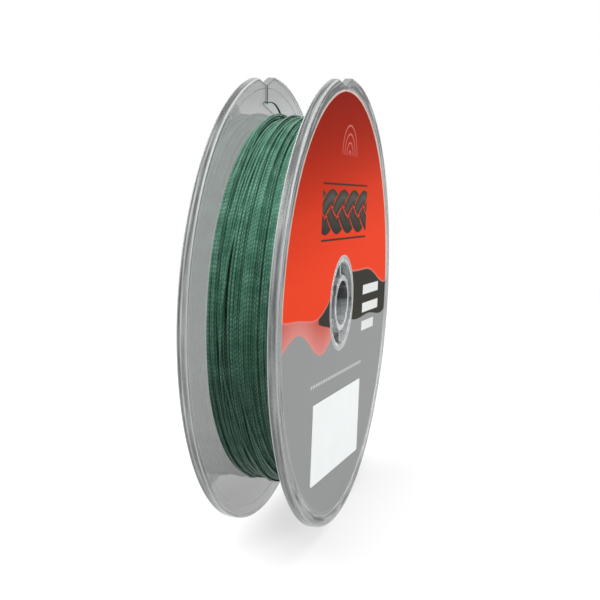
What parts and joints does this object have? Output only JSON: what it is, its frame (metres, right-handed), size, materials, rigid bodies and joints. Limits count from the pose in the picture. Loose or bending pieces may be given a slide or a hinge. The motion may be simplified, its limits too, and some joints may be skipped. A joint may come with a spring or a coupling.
{
  "type": "fishing line spool",
  "caption": "Clear flanged spool of green braided fishing line with a printed label disc, a ribbed hub with a spindle bore and line notches in the rims.",
  "frame": {"origin": "middle of the spindle bore, half way between the two rims' faces", "axes": "+Y along the spool's axis towards the back flange, so the label faces -Y; +Z towards the line notches; the spool stands on its rims"},
  "size_m": [0.1, 0.02, 0.0996],
  "materials": {
    "clear_plastic": "clear, glossy, moulded",
    "tape": "thin adhesive tape",
    "packed_line": "tightly packed braided line",
    "line": "braided, slight waxy sheen",
    "label_print": "printed film, satin",
    "sticker_paper": "plain coated paper"
  },
  "bodies": {
    "root": {"front_flange": "clear_plastic", "back_flange": "clear_plastic", "hub": "clear_plastic", "drum": "clear_plastic", "start_tape": "tape", "line_core": "packed_line", "line_turns": "line", "label_disc": "label_print", "blank_sticker": "sticker_paper"}
  },
  "joints": []
}
